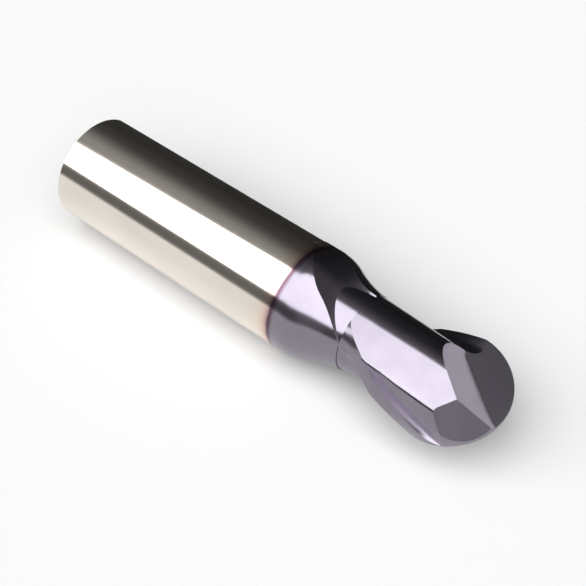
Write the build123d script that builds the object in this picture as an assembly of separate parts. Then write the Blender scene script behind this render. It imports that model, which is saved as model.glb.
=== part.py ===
from build123d import *
import os
from math import acos, asin, cos, degrees, radians, sin, sqrt, tan

# A solid carbide ball nose end mill with two flutes, a necked head and a plain round shank.
# Sizes are in millimetres and angles in degrees.
# It is built standing on its shank end, along Z, and laid along X, tip first, at the end.
# Around the axis, angles grow anticlockwise seen from the tip, the way the tool turns.

# Overall sizes.
cutter_diameter = 20.0
shank_diameter = 20.0
overall_length = 92.0
shank_length = 51.5
shank_chamfer = 0.6
cutter_radius = cutter_diameter / 2
shank_radius = shank_diameter / 2
ball_centre = overall_length - cutter_radius

# Shoulder and neck, between the shank and the cutting head.
shoulder_start = 53.3
shoulder_angle = 26.0
shoulder_round = 10.0
neck_radius = 7.16
neck_end = 64.0
head_start = 73.0

# Web, the core left between the flutes.
web_radius_at_neck = 7.0
web_taper = 0.04

# Teeth. Each has a land, a lower back behind its heel, and a flat side that meets the web.
tooth_count = 2
twist_rate = 2.98
edge_angle = 76.2
relief_angle = 1.5
land_width = 17.0
heel_width = 17.6
heel_step = 0.6
back_radius = 8.95
back_least = 2.0
side_angle = 161.7
corner_round = 2.8
corner_least = 0.3
corner_margin = 0.1
rake_fillet = 2.7

# Run-out, where each flute climbs the shoulder and leaves the tool.
runout_angle = 164.0
runout_twist = 4.0
runout_depth = 4.95
runout_slope = 0.52
runout_bend = 0.0125

# End gashes and the flats behind them, on the ball.
chisel_half_width = 0.25
gash_depth = 1.8
gash_angle = 37.0
gash_opening = 127.5
gash_rake = 14.0
flat_distance = 7.75
flat_tilt = 51.7
flat_behind_edge = 66.0

# How the tool lies: the turn about its own axis, from its building position.
lying_turn = 35.1
split_margin = 0.3
section_step = 2.0
reach = 150.0
full_turn = 360.0


def polar(radius, angle, height):
    """The point at this radius, angle and height."""
    return Vector(radius * cos(radians(angle)), radius * sin(radians(angle)), height)


def blank_profile():
    """Half of the round blank: shank, shoulder, neck, rear cone, head and ball."""
    bend = radians(shoulder_angle)
    half_bend = bend / 2
    shoulder_mid = shoulder_start + shoulder_round * sin(bend)
    mid_radius = shank_radius - shoulder_round * (1 - cos(bend))
    shoulder_arc = ThreePointArc(
        (shank_radius, shoulder_start),
        (shank_radius - shoulder_round * (1 - cos(half_bend)),
         shoulder_start + shoulder_round * sin(half_bend)),
        (mid_radius, shoulder_mid),
    )
    neck_arc = TangentArc(
        (mid_radius, shoulder_mid),
        (neck_radius, neck_end),
        tangent=(-sin(bend), cos(bend)),
    )
    ball_middle = radians(full_turn / 8)
    ball_arc = ThreePointArc(
        (cutter_radius, ball_centre),
        (cutter_radius * cos(ball_middle), ball_centre + cutter_radius * sin(ball_middle)),
        (0, overall_length),
    )
    outline = [
        Line((0, 0), (shank_radius - shank_chamfer, 0)),
        Line((shank_radius - shank_chamfer, 0), (shank_radius, shank_chamfer)),
        Line((shank_radius, shank_chamfer), (shank_radius, shoulder_start)),
        shoulder_arc,
        neck_arc,
        Line((neck_radius, neck_end), (cutter_radius, head_start)),
        Line((cutter_radius, head_start), (cutter_radius, ball_centre)),
        ball_arc,
        Line((0, overall_length), (0, 0)),
    ]
    return make_face(Plane.XZ * (Curve() + outline))


def blank():
    """The round blank that the flutes are ground into."""
    return revolve(blank_profile(), Axis.Z)


def web_radius(height):
    """The radius of the web, which thins towards the tip."""
    return web_radius_at_neck - web_taper * (height - neck_end)


def land_radius(angle_behind):
    """The radius of the land, this far behind the cutting edge, as its relief lets it drop."""
    shift = cutter_radius * tan(radians(relief_angle)) * sin(radians(angle_behind))
    return sqrt(cutter_radius ** 2 + shift ** 2) - shift


def blank_radius(height):
    """The radius of the blank's rear cone and head."""
    slope = (cutter_radius - neck_radius) / (head_start - neck_end)
    return neck_radius + slope * min(max(height - neck_end, 0), head_start - neck_end)


def corner(height):
    """How a tooth's side turns into its back: the round's radius, place and turn, and the back's radius."""
    web = web_radius(height)
    back = min(back_radius, blank_radius(height) + corner_margin)
    share = min(max((height - head_start) / (ball_centre - head_start), 0), 1)
    rounding = corner_least + (corner_round - corner_least) * share
    rounding = min(rounding, (back - web) / 2)
    along = sqrt((back - rounding) ** 2 - (web - rounding) ** 2)
    turn = degrees(acos((web - rounding) / (back - rounding)))
    return rounding, along, turn, back


def tooth_edges(height, tooth):
    """One tooth's part of the cross-section: rake face, web, and the next tooth's side, back and land."""
    turn = full_turn / tooth_count
    edge = edge_angle + twist_rate * (height - ball_centre) + turn * tooth
    next_edge = edge + turn
    web = web_radius(height)
    fillet_middle = web + rake_fillet
    fillet_angle = degrees(asin(rake_fillet / fillet_middle))
    fillet_centre = polar(fillet_middle, edge + fillet_angle, height)
    root_point = polar(sqrt(fillet_middle ** 2 - rake_fillet ** 2), edge, height)
    floor_start = polar(web, edge + fillet_angle, height)
    fillet_side = (root_point - fillet_centre) + (floor_start - fillet_centre)
    fillet_mid = fillet_centre + fillet_side.normalized() * rake_fillet
    side = side_angle + turn * tooth
    floor_mid = polar(web, (edge + fillet_angle + side) / 2, height)
    floor_end = polar(web, side, height)
    rounding, along, corner_turn, back = corner(height)
    corner_start = floor_end + polar(along, side + full_turn / 4, 0)
    corner_centre = polar(back - rounding, side + corner_turn, height)
    corner_mid = corner_centre + polar(rounding, side + corner_turn / 2, 0)
    corner_end = polar(back, side + corner_turn, height)
    heel = max(next_edge - heel_width, side + corner_turn + back_least)
    back_mid = polar(back, (side + corner_turn + heel) / 2, height)
    heel_point = polar(back, heel, height)
    land = max(next_edge - land_width, heel + heel_step)
    land_start = polar(land_radius(next_edge - land), land, height)
    land_mid = polar(land_radius((next_edge - land) / 2), (next_edge + land) / 2, height)
    return [
        Edge.make_line(polar(cutter_radius, edge, height), root_point),
        Edge.make_three_point_arc(root_point, fillet_mid, floor_start),
        Edge.make_three_point_arc(floor_start, floor_mid, floor_end),
        Edge.make_line(floor_end, corner_start),
        Edge.make_three_point_arc(corner_start, corner_mid, corner_end),
        Edge.make_three_point_arc(corner_end, back_mid, heel_point),
        Edge.make_line(heel_point, land_start),
        Edge.make_three_point_arc(land_start, land_mid, polar(cutter_radius, next_edge, height)),
    ]


def fluted_bar():
    """A bar with the flutes' cross-section, twisted along the head."""
    heights = []
    height = neck_end - section_step
    while height < overall_length + 2 * section_step:
        heights.append(height)
        height += section_step
    wires = []
    for height in heights:
        edges = []
        for tooth in range(tooth_count):
            edges += tooth_edges(height, tooth)
        wires.append(Wire(edges))
    return Solid.make_loft(wires, ruled=False)


def block(direction, origin, normal):
    """A large block that fills the side of a plane that its normal points to."""
    plane = Plane(origin=origin, x_dir=direction, z_dir=normal)
    return plane * Box(2 * reach, 2 * reach, reach, align=(Align.CENTER, Align.CENTER, Align.MIN))


def tooth_side(tooth):
    """The half of space on one tooth's side of the axis, behind its cutting edge on the ball."""
    angle = ball_edge_angle(tooth)
    return block((0, 0, 1), (0, 0, 0), polar(1, angle - full_turn / 4, 0))


def ball_edge_angle(tooth):
    """The angle of the straight cutting edge on the ball, seen from the tip."""
    lead = degrees(asin(chisel_half_width / cutter_radius))
    return edge_angle - lead + full_turn / tooth_count * tooth


def relieved_ball(tooth):
    """The ball end of one tooth, which drops away behind its cutting edge."""
    angle = ball_edge_angle(tooth)
    shift = cutter_radius * tan(radians(relief_angle))
    radius = cutter_radius / cos(radians(relief_angle))
    centre = polar(shift, angle + full_turn / 4, ball_centre)
    return (Pos(centre) * Sphere(radius)) & tooth_side(tooth)


def above(height):
    """Everything from this height up."""
    return block((1, 0, 0), (0, 0, height), (0, 0, 1))


def gash(tooth):
    """The notch ground in front of one tooth's cutting edge on the ball: a rake face and a back face."""
    angle = ball_edge_angle(tooth)
    forward = polar(1, angle + full_turn / 4, 0)
    outward = polar(1, angle, 0)
    up = Vector(0, 0, 1)
    root = Vector(0, 0, overall_length - gash_depth)
    along = outward * sin(radians(gash_angle)) - up * cos(radians(gash_angle))
    lean = radians(full_turn / 2 - gash_opening)
    across = along.cross(forward)
    if across.Z < 0:
        across = across * -1
    back_normal = forward * cos(lean) + across * sin(lean)
    chord = (outward - up).normalized()
    hook = radians(gash_rake)
    rake_normal = forward * cos(hook) + (outward + up).normalized() * sin(hook)
    start = up * overall_length + forward * chisel_half_width
    return block(chord, start, rake_normal) & block(along, root, back_normal)


def end_flat(tooth):
    """The material beyond the flat that backs off one tooth behind its land on the ball."""
    angle = ball_edge_angle(tooth) - flat_behind_edge
    normal = polar(sin(radians(flat_tilt)), angle, cos(radians(flat_tilt)))
    return block((0, 0, 1), Vector(0, 0, ball_centre) + normal * flat_distance, normal)


def runout(tooth):
    """The scoop where a flute climbs the shoulder and leaves the tool."""
    faces = []
    height = neck_end
    while height > shank_length - section_step:
        angle = runout_angle + runout_twist * (height - neck_end) + full_turn / tooth_count * tooth
        climb = neck_end - height
        depth = runout_depth + runout_slope * climb - runout_bend * climb ** 2
        plane = Plane(origin=polar(depth, angle, height), x_dir=polar(1, angle, 0), z_dir=(0, 0, 1))
        faces.append(plane * Rectangle(reach, reach, align=(Align.MIN, Align.CENTER)))
        height -= section_step
    return loft(faces)


def web_zone(low, high, margin):
    """The round web between two heights, this much larger than its own radius."""
    outline = [
        (0, low),
        (web_radius(low) + margin, low),
        (web_radius(high) + margin, high),
        (0, high),
    ]
    return revolve(make_face(Plane.XZ * Polyline(*outline, close=True)), Axis.Z)


def ball_half():
    """One tooth's half of the ball end, ground: relieved, gashed and backed off."""
    bar = blank() & fluted_bar()
    half = (bar & above(ball_centre)) & relieved_ball(1)
    return half - gash(0) - end_flat(1)


def cutting_end():
    """Everything from the neck's end to the tip."""
    body = ((blank() & above(neck_end)) & fluted_bar()) - above(ball_centre)
    half = ball_half()
    whole = body + half + Rot(0, 0, full_turn / tooth_count) * half
    for tooth in range(tooth_count):
        whole = whole - gash(tooth)
    return whole


def plain_end():
    """Everything from the shank's end to the neck's end, with the flutes' run-outs."""
    whole = blank() - above(neck_end)
    web = web_zone(shoulder_start, neck_end, 0)
    for tooth in range(tooth_count):
        whole = whole - (runout(tooth) - web)
    return whole


def core_zone():
    """The round zone of the web: it follows the web's taper, then the roots of the gashes."""
    tip = Plane.XZ * Polyline(
        (0, ball_centre),
        (web_radius(ball_centre) + split_margin, ball_centre),
        (0, overall_length - gash_depth),
        close=True,
    )
    return web_zone(neck_end, ball_centre, split_margin) + revolve(make_face(tip), Axis.Z)


def lay_down(shape):
    """Lay a piece along X, tip first, turned about its axis as the tool lies."""
    lying = Plane(origin=(0, 0, 0), x_dir=(0, 0, 1), z_dir=(1, 0, 0))
    return lying * Rot(0, 0, lying_turn) * shape


def save(name, shape):
    """Write one node."""
    export_step(lay_down(shape), "parts/" + name + ".step")


os.makedirs("parts", exist_ok=True)
plain = plain_end()
cutting = cutting_end()
teeth = cutting - core_zone()
save("shank", plain - above(shank_length))
save("neck", plain & above(shank_length))
save("web_core", cutting & core_zone())
for tooth in range(tooth_count):
    save("tooth_" + str(tooth + 1), teeth & tooth_side(tooth))
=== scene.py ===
import bpy
from math import radians
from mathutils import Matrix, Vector

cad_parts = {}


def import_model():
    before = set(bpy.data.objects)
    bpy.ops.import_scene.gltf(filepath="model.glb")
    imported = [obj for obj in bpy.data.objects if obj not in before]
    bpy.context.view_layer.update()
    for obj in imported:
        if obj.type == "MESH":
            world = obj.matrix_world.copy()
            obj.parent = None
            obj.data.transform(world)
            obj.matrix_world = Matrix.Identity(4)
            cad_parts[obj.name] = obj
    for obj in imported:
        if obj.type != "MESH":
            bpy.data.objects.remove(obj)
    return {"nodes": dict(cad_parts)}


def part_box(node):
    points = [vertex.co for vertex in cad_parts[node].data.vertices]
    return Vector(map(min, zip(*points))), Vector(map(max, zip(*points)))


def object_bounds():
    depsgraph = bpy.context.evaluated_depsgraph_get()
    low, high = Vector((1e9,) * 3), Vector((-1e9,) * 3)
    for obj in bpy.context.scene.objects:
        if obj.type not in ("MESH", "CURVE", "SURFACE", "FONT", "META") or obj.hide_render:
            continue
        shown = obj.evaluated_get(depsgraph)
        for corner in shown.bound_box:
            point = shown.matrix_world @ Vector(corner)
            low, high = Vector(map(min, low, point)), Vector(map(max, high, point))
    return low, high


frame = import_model()
cad_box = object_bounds()

# Places and sizes from the frame, in metres. The tool's axis is X, and the tip points to +X.
SHANK_LOW, SHANK_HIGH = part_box("shank")
COAT_EDGE = SHANK_HIGH[0]
FLOOR = SHANK_LOW[2]
TIP = cad_box[1][0]
MM = 0.001

# The flutes' twist about the axis, in radians a metre.
TWIST = radians(2980)

# The centre of the ball end, on the axis.
BALL_CENTRE = TIP - (SHANK_HIGH[2] - SHANK_LOW[2]) / 2

# Colours of the metals, in linear light.
BARE = (0.80, 0.74, 0.665)
BARE_DULL = (0.72, 0.665, 0.60)
STRAW = (0.76, 0.60, 0.50)
ROSE = (0.52, 0.37, 0.36)
PLUM = (0.12, 0.07, 0.10)
VIOLET = (0.228, 0.208, 0.25)
VIOLET_PALE = (0.252, 0.23, 0.272)

# The heat tint on the bare metal by the coating: its length, and its first faint colour.
TINT_LENGTH = 5 * MM
FAINT_TINT = (0.99, 0.96, 0.95)

# Where the coating's colour starts and is full, past its edge, and how far both boundaries waver.
COAT_START = 0.25 * MM
COAT_FULL = 0.9 * MM
TINT_WAVE = 1.2 * MM
COAT_WAVE = 0.3 * MM

# Sizes of the patterns, in waves a metre along and across the axis.
RINGS = (9000.0, 60.0)
HANDLING_MARKS = (60.0, 150.0)
GRINDING_LINES = (120.0, 5200.0)
COAT_CLOUDS = (220.0, 220.0)

# Roughness of the metals: the least, and how much more the patterns add.
BARE_ROUGHNESS = (0.085, 0.05)
COAT_ROUGHNESS = (0.12, 0.08)

# Depth of the rings and of the grinding lines.
RING_DEPTH = 0.002 * MM
LINE_DEPTH = 0.003 * MM

# The softbox. Its near and far sides are turns about the tool's axis, in degrees from straight overhead
# towards the camera's side, and its blur is in degrees too. Its far side is skewed: it moves with the lean,
# which is how far a direction points towards the tip for each unit across the axis.
SOFTBOX_NEAR = 65.5
SOFTBOX_FAR = -6.0
SOFTBOX_FAR_LEAN = -0.33
SOFTBOX_FAR_LIMIT = -7.0
SOFTBOX_SKEW = 40.0
SOFTBOX_BLUR = 2.5
SOFTBOX_GLOW = 3.6

# The leans between which the softbox ends beyond the tip, and the brightness of the wall there.
SOFTBOX_END = (1.1, 1.4)
END_WALL = 0.38

# More light from in front of the tip, over the leans where it comes in: the walls' extra, and a low reflector
# with the turns where it starts and stops.
SIDE_WALL = 0.12
SIDE_LEAN = (0.05, 0.25)
LOW_REFLECTOR = 1.2
LOW_LEAN = (0.0, 0.1)
LOW_START = (-79.0, -83.0)
LOW_STOP = (-110.0, -100.0)

# The walls' brightness by turn.
WALLS = [
    (-180, 0.80),
    (-100, 0.05),
    (-85, 0.02),
    (-65, 0.04),
    (-45, 0.055),
    (-35, 0.09),
    (-25, 0.16),
    (-15, 0.245),
    (-5, 0.30),
    (60, 0.16),
    (85, 0.14),
    (94, 0.70),
    (180, 0.80),
]

# The camera and what it looks at, and its long lens in millimetres.
CAMERA_PLACE = Vector((0.1422, -0.1101, 0.1567))
CAMERA_AIM = Vector((0.0493, -0.0006, 0.0))
CAMERA_LENS = 76.2
NEAREST_SEEN = 0.01

# The table's half width, and the black card's place behind the tool and its ends.
TABLE_REACH = 3.0
TABLE_SHADE = 0.55
FLAG_BEHIND = 0.030
FLAG_TOP = 0.016
FLAG_START = -0.3
FLAG_SHADE = 0.02


def new_material(name):
    """A material with an empty node tree."""
    material = bpy.data.materials.new(name)
    material.use_nodes = True
    material.node_tree.nodes.clear()
    return material


def add(tree, kind, **settings):
    """A node, with its properties set."""
    node = tree.nodes.new(kind)
    for key, value in settings.items():
        setattr(node, key, value)
    return node


def feed(tree, socket, value):
    """Give an input a socket's output, a number or a vector."""
    if isinstance(value, bpy.types.NodeSocket):
        tree.links.new(value, socket)
    else:
        socket.default_value = value


def calc(tree, operation, first, second=0.0, clamp=False):
    """A math node."""
    node = add(tree, "ShaderNodeMath", operation=operation, use_clamp=clamp)
    feed(tree, node.inputs[0], first)
    feed(tree, node.inputs[1], second)
    return node.outputs[0]


def blend(tree, share, low, high, kind="MIX"):
    """Mix two colours, sockets or values."""
    node = add(tree, "ShaderNodeMix", data_type="RGBA", blend_type=kind)
    feed(tree, node.inputs["Factor"], share)
    for name, value in (("A", low), ("B", high)):
        feed(tree, node.inputs[name], (*value, 1) if isinstance(value, tuple) else value)
    return node.outputs["Result"]


def ramp(tree, factor, stops):
    """A colour ramp with these (place, colour) stops."""
    node = add(tree, "ShaderNodeValToRGB")
    elements = node.color_ramp.elements
    elements.remove(elements[1])
    for number, (place, colour) in enumerate(stops):
        element = elements[0] if number == 0 else elements.new(place)
        element.position = place
        element.color = (*colour, 1)
    tree.links.new(factor, node.inputs[0])
    return node.outputs[0]


def between(tree, value, low, high):
    """How far a value is from low to high, from 0 to 1."""
    return calc(tree, "DIVIDE", calc(tree, "SUBTRACT", value, low), high - low, True)


def joined(tree, x, y, z):
    """A vector from its three parts."""
    node = add(tree, "ShaderNodeCombineXYZ")
    for socket, value in zip(node.inputs, (x, y, z)):
        feed(tree, socket, value)
    return node.outputs[0]


def noise(tree, vector, detail):
    """A noise value, from 0 to 1."""
    node = add(tree, "ShaderNodeTexNoise")
    feed(tree, node.inputs["Vector"], vector)
    node.inputs["Scale"].default_value = 1.0
    node.inputs["Detail"].default_value = detail
    return node.outputs["Fac"]


def pattern(tree, x, y, z, scale, detail):
    """A noise with this scale along the axis and across it."""
    along, across = scale
    stretched = joined(tree, calc(tree, "MULTIPLY", x, along), calc(
        tree, "MULTIPLY", y, across), calc(tree, "MULTIPLY", z, across))
    return noise(tree, stretched, detail)


def axes(tree):
    """The object's X, Y and Z at each point."""
    parts = add(tree, "ShaderNodeSeparateXYZ")
    tree.links.new(add(tree, "ShaderNodeTexCoord").outputs["Object"], parts.inputs[0])
    return parts.outputs[0], parts.outputs[1], parts.outputs[2]


def untwisted(tree, x, y, z):
    """The two directions across the axis, turned back along the flutes' twist."""
    angle = calc(tree, "MULTIPLY", x, TWIST)
    cosine = calc(tree, "COSINE", angle)
    sine = calc(tree, "SINE", angle)
    first = calc(tree, "ADD", calc(tree, "MULTIPLY", y, cosine), calc(tree, "MULTIPLY", z, sine))
    second = calc(tree, "SUBTRACT", calc(tree, "MULTIPLY", z, cosine), calc(tree, "MULTIPLY", y, sine))
    return first, second


def bump(tree, height, strength, distance):
    """A bump from a height map."""
    node = add(tree, "ShaderNodeBump")
    node.inputs["Strength"].default_value = strength
    node.inputs["Distance"].default_value = distance
    tree.links.new(height, node.inputs["Height"])
    return node.outputs[0]


def finish(tree, colour, roughness, normal, anisotropy):
    """The metal shader and the material's output."""
    shader = add(tree, "ShaderNodeBsdfPrincipled")
    shader.inputs["Metallic"].default_value = 1.0
    shader.inputs["Anisotropic"].default_value = anisotropy
    feed(tree, shader.inputs["Base Color"], colour)
    feed(tree, shader.inputs["Roughness"], roughness)
    tree.links.new(normal, shader.inputs["Normal"])
    output = add(tree, "ShaderNodeOutputMaterial")
    tree.links.new(shader.outputs[0], output.inputs[0])


def bare_carbide():
    """The ground and polished shank: fine rings, faint handling marks, and a heat tint by the coating."""
    material = new_material("bare_carbide")
    tree = material.node_tree
    x, y, z = axes(tree)
    rings = pattern(tree, x, y, z, RINGS, 4.0)
    clouds = pattern(tree, x, y, z, HANDLING_MARKS, 3.0)
    metal = blend(tree, between(tree, clouds, 0.35, 0.7), BARE, BARE_DULL)
    metal = blend(tree, calc(tree, "MULTIPLY", between(tree, rings, 0.55, 0.8), 0.25), metal, BARE_DULL)
    edge_wave = calc(tree, "MULTIPLY", calc(tree, "SUBTRACT", clouds, 0.5), TINT_WAVE)
    along = calc(tree, "ADD", x, edge_wave)
    tint = ramp(tree, between(tree, along, COAT_EDGE - TINT_LENGTH, COAT_EDGE), [
        (0.0, (1.0, 1.0, 1.0)),
        (0.5, FAINT_TINT),
        (0.78, tuple(a / b for a, b in zip(STRAW, BARE))),
        (0.93, tuple(a / b for a, b in zip(ROSE, BARE))),
        (1.0, tuple(a / b for a, b in zip(PLUM, BARE))),
    ])
    metal = blend(tree, 1.0, metal, tint, "MULTIPLY")
    least, more = BARE_ROUGHNESS
    roughness = calc(tree, "ADD", least, calc(tree, "MULTIPLY", clouds, more))
    finish(tree, metal, roughness, bump(tree, rings, 0.12, RING_DEPTH), 0.2)
    return material


def coated_carbide():
    """The coated cutting end: violet-grey, with grinding lines along the flutes."""
    material = new_material("coated_carbide")
    tree = material.node_tree
    x, y, z = axes(tree)
    first, second = untwisted(tree, x, y, z)
    lines = pattern(tree, x, first, second, GRINDING_LINES, 3.0)
    clouds = pattern(tree, x, y, z, COAT_CLOUDS, 3.0)
    metal = blend(tree, between(tree, clouds, 0.35, 0.7), VIOLET, VIOLET_PALE)
    metal = blend(tree, calc(tree, "MULTIPLY", between(tree, lines, 0.5, 0.8), 0.35), metal, VIOLET_PALE)
    edge_wave = calc(tree, "MULTIPLY", calc(tree, "SUBTRACT", clouds, 0.5), COAT_WAVE)
    start = between(tree, calc(tree, "ADD", x, edge_wave), COAT_EDGE + COAT_START, COAT_EDGE + COAT_FULL)
    metal = blend(tree, start, PLUM, metal)
    least, more = COAT_ROUGHNESS
    roughness = calc(tree, "ADD", least, calc(tree, "MULTIPLY", lines, more))
    finish(tree, metal, roughness, bump(tree, lines, 0.15, LINE_DEPTH), 0.0)
    return material


def dress(node, material):
    """Give a CAD node a material in all its slots."""
    thing = frame["nodes"][node]
    if not thing.material_slots:
        thing.data.materials.append(material)
    for slot in thing.material_slots:
        slot.material = material


def camera():
    """A long lens above the table, looking back along the tool from beyond its tip."""
    data = bpy.data.cameras.new("camera")
    data.lens = CAMERA_LENS
    data.clip_start = NEAREST_SEEN
    thing = bpy.data.objects.new("camera", data)
    bpy.context.collection.objects.link(thing)
    thing.location = CAMERA_PLACE
    thing.rotation_euler = (CAMERA_AIM - CAMERA_PLACE).to_track_quat("-Z", "Y").to_euler()
    bpy.context.scene.camera = thing


def card(name, corners, colour, roughness):
    """A flat rectangle that is part of the studio, not of the object."""
    mesh = bpy.data.meshes.new(name)
    mesh.from_pydata(corners, [], [(0, 1, 2, 3)])
    thing = bpy.data.objects.new(name, mesh)
    bpy.context.collection.objects.link(thing)
    material = new_material(name)
    tree = material.node_tree
    shader = add(tree, "ShaderNodeBsdfPrincipled")
    shader.inputs["Base Color"].default_value = (colour, colour, colour, 1)
    shader.inputs["Roughness"].default_value = roughness
    shader.inputs["Specular IOR Level"].default_value = 0.1
    output = add(tree, "ShaderNodeOutputMaterial")
    tree.links.new(shader.outputs[0], output.inputs[0])
    mesh.materials.append(material)
    return thing


def floor():
    """The pale table that the tool lies on."""
    corners = [(x * TABLE_REACH, y * TABLE_REACH, FLOOR) for x, y in ((-1, -1), (1, -1), (1, 1), (-1, 1))]
    card("floor", corners, TABLE_SHADE, 0.9)


def flag():
    """A black card behind the tool, out of view, which darkens the reflections of its far side."""
    low = FLOOR + 1 * MM
    outline = ((FLAG_START, low), (BALL_CENTRE, low), (BALL_CENTRE, FLAG_TOP), (FLAG_START, FLAG_TOP))
    thing = card("flag", [(x, FLAG_BEHIND, z) for x, z in outline], FLAG_SHADE, 1.0)
    thing.visible_camera = False
    thing.visible_diffuse = False
    thing.visible_shadow = False


def world():
    """The studio: a long softbox overhead, walls, a low reflector past the tip, and a white backdrop."""
    studio = bpy.data.worlds.new("studio")
    bpy.context.scene.world = studio
    studio.use_nodes = True
    tree = studio.node_tree
    tree.nodes.clear()
    parts = add(tree, "ShaderNodeSeparateXYZ")
    tree.links.new(add(tree, "ShaderNodeTexCoord").outputs["Generated"], parts.inputs[0])
    x, y, z = parts.outputs[0], parts.outputs[1], parts.outputs[2]
    turn = calc(tree, "DIVIDE", calc(tree, "ARCTAN2", calc(tree, "MULTIPLY", y, -1.0), z), radians(1))
    walls = ramp(tree, between(tree, turn, -180.0, 180.0), [
        ((angle + 180) / 360, (shade, shade, shade)) for angle, shade in WALLS])
    across = calc(tree, "SQRT", calc(tree, "SUBTRACT", 1.0, calc(tree, "MULTIPLY", x, x)))
    lean = calc(tree, "DIVIDE", x, across)
    past_lean = calc(tree, "SUBTRACT", lean, SOFTBOX_FAR_LEAN)
    far = calc(tree, "SUBTRACT", SOFTBOX_FAR, calc(tree, "MULTIPLY", past_lean, SOFTBOX_SKEW))
    far = calc(tree, "MAXIMUM", far, SOFTBOX_FAR_LIMIT)
    past_far = calc(tree, "DIVIDE", calc(tree, "SUBTRACT", turn, far), SOFTBOX_BLUR, True)
    before_near = calc(tree, "DIVIDE", calc(tree, "SUBTRACT", SOFTBOX_NEAR, turn), SOFTBOX_BLUR, True)
    glow = calc(tree, "MULTIPLY", calc(tree, "MULTIPLY", past_far, before_near), SOFTBOX_GLOW)
    past_end = between(tree, lean, *SOFTBOX_END)
    glow = calc(tree, "MULTIPLY", glow, calc(tree, "SUBTRACT", 1.0, past_end))
    walls = blend(tree, past_end, walls, (END_WALL, END_WALL, END_WALL))
    side = calc(tree, "MULTIPLY", between(tree, lean, *SIDE_LEAN), SIDE_WALL)
    low = calc(tree, "MULTIPLY", between(tree, lean, *LOW_LEAN), between(tree, turn, *LOW_START))
    low = calc(tree, "MULTIPLY", calc(tree, "MULTIPLY", low, between(tree, turn, *LOW_STOP)), LOW_REFLECTOR)
    light = blend(tree, 1.0, walls, calc(tree, "ADD", glow, calc(tree, "ADD", side, low)), "ADD")
    seen = add(tree, "ShaderNodeLightPath").outputs["Is Camera Ray"]
    background = add(tree, "ShaderNodeBackground")
    tree.links.new(blend(tree, seen, light, (1.0, 1.0, 1.0)), background.inputs[0])
    output = add(tree, "ShaderNodeOutputWorld")
    tree.links.new(background.outputs[0], output.inputs[0])


camera()
floor()
flag()
world()
dress("shank", bare_carbide())
coating = coated_carbide()
for name in ("neck", "web_core", "tooth_1", "tooth_2"):
    dress(name, coating)
bpy.context.scene.view_settings.view_transform = "Standard"
